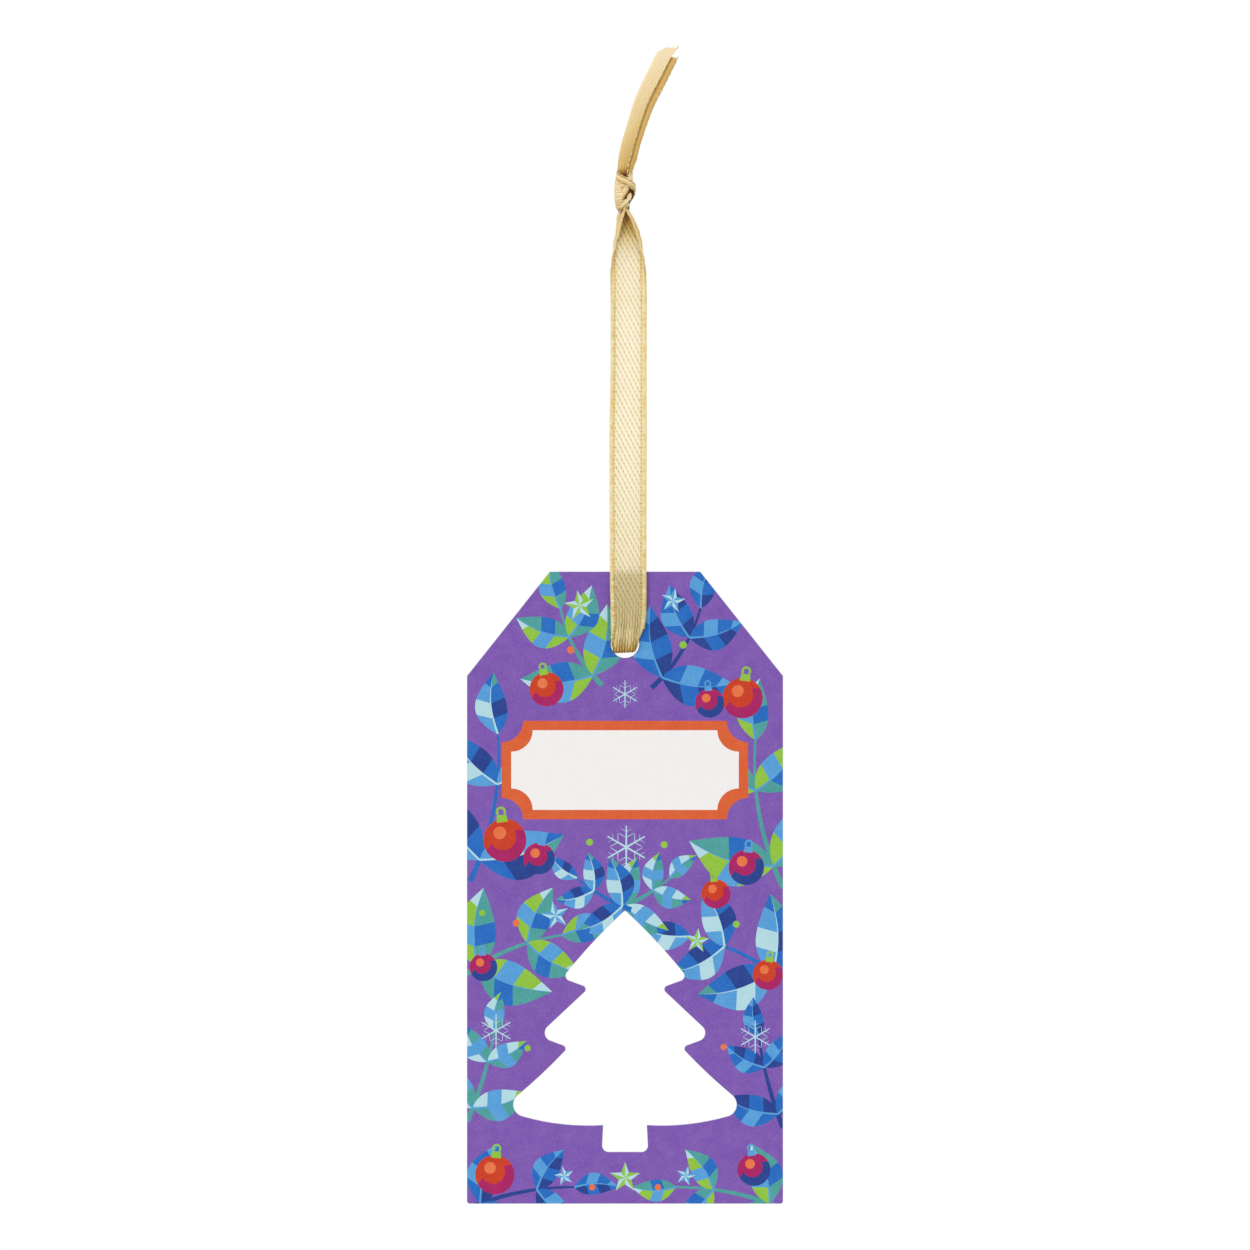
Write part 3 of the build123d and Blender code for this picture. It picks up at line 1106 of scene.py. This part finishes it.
turn_points = [
    (0.15, -0.84, -68.3),
    (0.08, -0.86, -69.35),
    (0.02, -0.45, -69.62),
    (0.02, 0.45, -69.62),
    (0.08, 0.86, -69.35),
    (0.15, 0.84, -68.3),
]
turn_tilt = 3.0
turn_stations = 33
turn_line = smooth_line(turn_points)
turn_along = np.linspace(0, distances(turn_line)[-1], turn_stations)
turn_spine, turn_ways = at_distance(turn_line, turn_along)
tilts = np.radians(turn_tilt) * np.sin(np.pi * turn_along / turn_along[-1])
tilted = np.stack([np.cos(tilts), 0 * tilts, np.sin(tilts)], axis=-1)
turn_grid = run_grid(turn_spine, turn_ways, tilted, gather, -1)
turn_hole_shade = hole_shade(turn_spine)
hole_turn = cloth_piece("hole_turn", turn_grid, turn_along, False, turn_hole_shade, turn_hole_shade)
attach(hole_turn, "saddle")
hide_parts("ribbon_bight")


# The necks: below the knot each run draws together. Its two edges fold over like the
# sides of a tent, and the selvedges meet at the top, where the knot grips them.

neck_points = {
    "front": [
        (0.60, -0.70, -14.0),
        (0.52, -0.70, -9.5),
        (0.45, -0.66, -6.0),
        (0.44, -0.58, -3.0),
        (0.42, -0.45, -1.2),
        (-0.05, -0.10, 0.2),
        (-0.20, 0.30, 1.2),
    ],
    "back": [
        (0.60, 0.70, -14.0),
        (0.52, 0.70, -9.5),
        (0.45, 0.66, -6.0),
        (0.45, 0.58, -3.2),
        (-0.10, 0.45, -1.5),
        (-0.75, 0.30, 0.2),
        (-0.60, 0.10, 1.2),
    ],
}
tent = [
    (1.2, 0.26, 0.86, 100, 0.28, 0.88, 100, 0.42, 0.04),
    (0.3, 0.30, 0.90, 106, 0.90, 1.50, 125, 0.52, 0.04),
    (-1.3, 1.16, 1.76, 105, 1.20, 1.80, 123, 0.72, 0.04),
    (-2.3, 1.46, 2.06, 115, 1.48, 2.08, 133, 0.84, 0.03),
    (-3.24, 1.68, 2.28, 129, 1.70, 2.30, 133, 0.92, 0.02),
    (-5.1, 2.00, 2.60, 133, 2.02, 2.62, 149, 0.97, 0.01),
    (-8.0, 2.20, 2.80, 80, 2.20, 2.80, 80, 0.965, 0.0),
    (-10.5, 2.40, 3.10, 32, 2.40, 3.10, 32, 0.94, 0.0),
    (-14.0, 2.6, 3.4, 10, 2.6, 3.4, 10, 0.955, 0.0),
]
neck_stitch = 0.42 * mm
neck_inset = 0.2 * mm
from_middle = np.abs(flat_across) / mm
for side, face_sign in sides:
    along, points, _ = stations(smooth_line(neck_points[side]))
    upright = np.tile([0.0, 0.0, 1.0], (len(along), 1))
    across_ways = np.tile(rightward, (len(along), 1))
    grid = run_grid(points, upright, across_ways, tent, face_sign)
    neck_along = along + distances(run_lines[side])[-1]
    # Painted shade inside the tent towards the knot, and on the outer faces of the folded flaps.
    neck_shade_inside = by_height(points, (-8.0, -4.2, -1.4), (0.0, 0.22, 0.9))
    flap_shade = np.interp(from_middle, (1.9, 2.2, 2.6, 2.7), (0.0, 1.0, 1.0, 0.0))
    neck_shade_outside = flap_shade * by_height(points, (-8.5, -5.0), (0.0, 0.3))
    backed_inside = by_height(points, (-9.0, -4.0), (0.0, 0.45))
    behind_flaps = np.interp(from_middle, (1.6, 2.0), (0.0, 1.0))
    behind_flaps = behind_flaps * by_height(points, (-14.0, -9.0, -5.0), (0.0, 0.7, 1.0))
    below_knot = by_height(points, (-5.5, -2.5), (0.0, 1.0))
    neck = cloth_piece(
        f"{side}_neck",
        grid,
        neck_along,
        side == "front",
        (neck_shade_inside, neck_shade_outside),
        (backed_inside, np.maximum(behind_flaps, below_knot)),
        run_satin[side],
    )
    beads = selvedge(f"{side}_neck_selvedge", grid, neck_inset, neck_stitch)
    for piece in (neck, beads):
        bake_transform(piece)
    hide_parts(f"ribbon_{side}_neck")


# The knot: both ribbons tied together in one overhand knot. A broad wrap lies on its
# left, two bands cross in a collar under the tails, and two more climb from lower left
# to upper right with a dark slit between them.

knot_half_width = 1.5
knot_half_depth = 1.3


def on_knot(turn, height, swell):
    """A point round the knot: degrees from the front to the right, height, and share of its size."""
    angle = math.radians(turn)
    return (
        knot_half_width * swell * math.sin(angle),
        -knot_half_depth * swell * math.cos(angle),
        height,
    )


# The core fills the knot: a flat dark brown, painted shadow for the deep inside of the knot, seen between
# the bands.
core_heights = (0.1, 1.4, 2.2, 4.2, 5.2, 5.5, 5.8)
core_swells = (0.45, 0.5, 0.88, 0.86, 0.92, 0.88, 0.5)
core_rings = 24
core_sides = 48
core_edge_angle = math.radians(60)
core_points = []
for height in np.linspace(core_heights[0], core_heights[-1], core_rings):
    swell = np.interp(height, core_heights, core_swells)
    narrowing = np.interp(height, (4.2, 5.0), (1.0, 0.75))
    for turn in np.linspace(0, 360, core_sides, endpoint=False):
        across, forward, up = on_knot(turn, height, swell)
        core_points.append((across * narrowing * mm, forward * mm, up * mm))
core_bottom = list(range(core_sides))[::-1]
core_top = [core_sides * (core_rings - 1) + at for at in range(core_sides)]
core_faces = [core_bottom, core_top]
for level in range(core_rings - 1):
    lower, upper = level * core_sides, (level + 1) * core_sides
    for at in range(core_sides):
        after = (at + 1) % core_sides
        core_faces.append([lower + at, lower + after, upper + after, upper + at])
core_mesh = bpy.data.meshes.new("knot_core")
core_mesh.from_pydata(core_points, [], core_faces)
core_mesh.polygons.foreach_set("use_smooth", [True] * len(core_mesh.polygons))
core_mesh.set_sharp_from_angle(angle=core_edge_angle)
# Painted shadow: the core's cloth is a flat dark brown.
core_shadow_satin, core_shadow_tree, core_shadow_shader = new_finish("core_shadow_satin")
plug(
    core_shadow_tree,
    core_shadow_shader,
    {"Base Color": (0.1, 0.05, 0.012, 1), "Roughness": 0.8, "Specular IOR Level": 0.1},
)
core_mesh.materials.append(core_shadow_satin)
knot_core = new_object("knot_core", core_mesh)
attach(knot_core, "knot")
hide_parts("ribbon_knot")

# Each band: its line round the knot, its width, its pleats, how deep they are, the share of
# its length that they keep, how far its edges tuck in, the shade painted on its middle and
# edges (light where below zero), and whether its selvedges show.
knot_bands = {
    "knot_bottom_wrap": (
        [(-180, 0.8, 0.8), (-120, 0.75, 0.95), (-60, 0.75, 1.02), (-20, 0.85, 1.0), (30, 1.1, 0.62),
         (90, 1.2, 0.45), (185, 0.9, 0.75)],
        0.85, 1, 0.03, 1.0, 0.2, (0.1, 0.9), False,
    ),
    "knot_centre": (
        [(32, 4.9, 0.8), (20, 4.2, 0.92), (0, 3.4, 0.98), (-23, 2.6, 0.98), (-42, 1.8, 0.9)],
        1.0, 3, 0.06, 1.0, 0.2, (-0.1, 0.6), False,
    ),
    "knot_lower_band": (
        [(60, 3.2, 0.6), (42, 2.7, 0.92), (28, 2.15, 1.08), (10, 1.6, 1.12), (-10, 1.08, 1.1),
         (-36, 0.65, 0.8)],
        0.55, 1, 0.03, 1.0, 0.08, (-0.1, 0.9), True,
    ),
    "knot_under_collar": (
        [(100, 5.85, 0.75), (54, 5.6, 1.0), (14, 4.85, 1.14), (-12, 4.4, 1.06), (-38, 4.0, 0.75)],
        0.95, 1, 0.03, 1.0, 0.06, (-0.1, 0.9), True,
    ),
    "knot_over_collar": (
        [(-100, 5.9, 0.84), (-66, 5.65, 1.0), (-20, 5.1, 1.18), (14, 4.65, 1.24), (50, 4.1, 1.18),
         (85, 3.5, 1.12), (118, 2.8, 1.0), (155, 2.1, 0.75)],
        1.0, 2, 0.05, 1.0, 0.1, (0.0, 0.8), True,
    ),
    "knot_broad_wrap": (
        [(-12, 3.2, 0.6), (-26, 3.15, 1.06), (-55, 3.1, 1.18), (-95, 3.05, 1.14), (-140, 3.05, 1.1),
         (-190, 3.1, 0.7)],
        5.0, 13, 0.1, 0.3, 0.3, (-0.12, 0.2), False,
    ),
    "knot_back_band": (
        [(105, 5.2, 0.75), (145, 4.6, 1.06), (180, 3.6, 1.18), (-150, 2.2, 1.16), (-112, 1.4, 0.8)],
        1.6, 2, 0.06, 1.0, 0.3, (0.1, 0.9), True,
    ),
}
thin_stitch = 0.34 * mm
thin_inset = 0.1 * mm
band_step = 0.6 * station_step
pleat_fade = 0.15
faded_pleat = 0.15
thread_share = flat_across / flat_across[-1]
for band_name, shape in knot_bands.items():
    controls, band_width, pleats, pleat_depth, pleated, tuck, painted_shading, edged = shape
    along, points, ways = stations(smooth_line([on_knot(*control) for control in controls]), band_step)
    outward = points * (1.0, 1.0, 0.0)
    across_ways = unit(np.cross(ways, outward))
    facing = unit(np.cross(across_ways, ways))
    fading = np.interp(along / along[-1], (pleated, pleated + pleat_fade), (1.0, faded_pleat))
    pleating = (pleat_depth * fading)[:, None] * np.cos(np.pi * pleats * thread_share)
    forward = pleating - tuck * thread_share**2
    grid = (
        points[:, None]
        + across_ways[:, None] * (thread_share * band_width / 2 * mm)[None, :, None]
        + facing[:, None] * (forward * mm)[..., None]
    )
    # Painted shade on the band's edges, where it goes under other bands, and on its hidden inner side; a
    # value below zero paints light on its middle.
    band_shade = np.interp(np.abs(thread_share), (0.5, 0.85), painted_shading)
    band_pieces = [cloth_piece(band_name, grid, along, False, (1.0, band_shade), (1.0, 1.0))]
    if edged:
        band_pieces.append(selvedge(f"{band_name}_selvedge", grid, thin_inset, thin_stitch))
    for band in band_pieces:
        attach(band, "knot")


# The tails: the two cut ends of the ribbon, each folded once along its length, stand
# up out of the knot and lean over to the right. They are cut at a slant, and a few
# threads of the weave stick out of the cut.

tail_points = [
    (-1.05, -0.62, 4.4),
    (-1.16, -0.62, 6.8),
    (-0.70, -0.64, 10.05),
    (0.50, -0.66, 14.0),
    (1.66, -0.68, 18.0),
    (3.50, -0.70, 21.9),
    (6.90, -0.75, 28.6),
]
tail_fold_at = -0.58 * mm
tail_fold_half = 0.3 * mm
tail_rows = 70
tail_lengths = {"front": (24.0, 23.2, 21.9, 22.5), "back": (22.0, 21.8, 21.4, 21.8)}
tail_squeeze = ((0.06, 0.21, 0.45, 0.75), (0.6, 0.79, 0.81, 0.93))
tail_pleat = 0.09 * mm

# The share of a tail's length where its pleats start to open out, and the share that this takes.
# The same for its outer half, which flares towards the cut end, and how much wider it gets.
opening_start, opening_length = 0.06, 0.15
flare_start, flare_length = 0.88, 0.12
tail_flare = 0.15

fray_pitch = 0.2 * mm
fray_length = 0.45 * mm
fray_thickness = 0.03 * mm
stray_seed = 3
fray_seed = 5
fray_tree, fray_given, fray_points = line_tree("frayed_threads", ("Pitch", "Length", "Thickness"))
stray = varied(fray_tree, (-0.45, -0.45, -0.3), (0.45, 0.45, 0.3), stray_seed)
stray_way = vectors(fray_tree, "ADD", line_way(fray_tree), stray)
thread_turn = add_node(
    fray_tree, "FunctionNodeAlignRotationToVector", {"Vector": stray_way}, axis="Z"
)
thread_end = add_node(
    fray_tree,
    "GeometryNodeMeshCone",
    {
        "Vertices": 5,
        "Radius Top": 0.0,
        "Radius Bottom": fray_given["Thickness"],
        "Depth": fray_given["Length"],
    },
)
end_tree(
    fray_tree,
    fray_points,
    thread_end.outputs[0],
    thread_turn.outputs[0],
    varied(fray_tree, (0.8, 0.8, 0.25), (1.1, 1.1, 1.0), fray_seed),
    fray_given["Thread"],
)

frontward = np.array([0.0, -1.0, 0.0])
row_share = np.linspace(0, 1, tail_rows)[:, None]
fold_turn = np.clip((flat_across - tail_fold_at) / tail_fold_half, -1, 1)
heading = np.pi / 2 * fold_turn * (1.5 - 0.5 * fold_turn**2)
sideways = summed(np.sin(heading))
sideways -= np.interp(tail_fold_at, flat_across, sideways)
backward = summed(np.cos(heading))
backward -= np.interp(tail_fold_at, flat_across, backward)
opening = eased((row_share - opening_start) / opening_length)
ripple = tail_pleat * (1 - opening) * np.cos(2 * np.pi * flat_across / pleat_pitch)
outer_half = np.where(flat_across < tail_fold_at, 1, 0)
flare = np.clip((row_share - flare_start) / flare_length, 0, 1) ** 2 * outer_half
squeeze = np.interp(row_share, *tail_squeeze) * (1 + tail_flare * flare)
# Painted shade inside the fold and, strongest, in the recess at the tail's foot, more towards the outer
# edge of the front flap low down; near the cut end the outer face gets painted light.
tail_shade_inside = np.interp(row_share, (0.1, 0.5), (0.7, 0.6))
tail_shade_outside = np.interp(row_share, (0.045, 0.07, 0.11, 0.45, 0.9), (1.7, 1.2, 0.25, 0.0, -0.15))
shade_toward_edge = np.interp(flat_across / mm, (-3.0, -1.8, -0.6), (0.35, 0.12, 0.0))
tail_shade_outside = tail_shade_outside + (1 - row_share) * shade_toward_edge
for side, face_sign in sides:
    line = smooth_line([(x, y * face_sign, z) for x, y, z in tail_points])
    lengths = np.interp(
        flat_across,
        [-ribbon_width / 2, -ribbon_width / 4, tail_fold_at, ribbon_width / 2],
        np.array(tail_lengths[side]) * mm,
    )
    along = row_share * lengths
    points, ways = at_distance(line, along)
    across_ways = unit(np.cross(ways, frontward))
    grid = (
        points
        + across_ways * (sideways * squeeze)[..., None]
        + frontward * face_sign * (ripple - backward)[..., None]
    )
    tail = cloth_piece(f"{side}_tail", grid, along[:, 0], True, (tail_shade_inside, tail_shade_outside), (1.0, 1.0), tail_satin)
    beads = selvedge(f"{side}_tail_selvedge", grid, thin_inset, thin_stitch)
    threads = grown(
        f"{side}_tail_fray",
        grid[-1],
        unit(grid[-1] - grid[-2]),
        [(at, at + 1) for at in range(threads_across - 1)],
        fray_tree,
        {
            "Pitch": fray_pitch,
            "Length": fray_length,
            "Thickness": fray_thickness,
            "Thread": gold_thread,
        },
    )
    for piece in (tail, beads, threads):
        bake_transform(piece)
    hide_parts(f"ribbon_{side}_tail")

# The pieces of each run of the loop, at the front and at the back.
for side in ("front", "back"):
    run, beads = run_pieces[side]
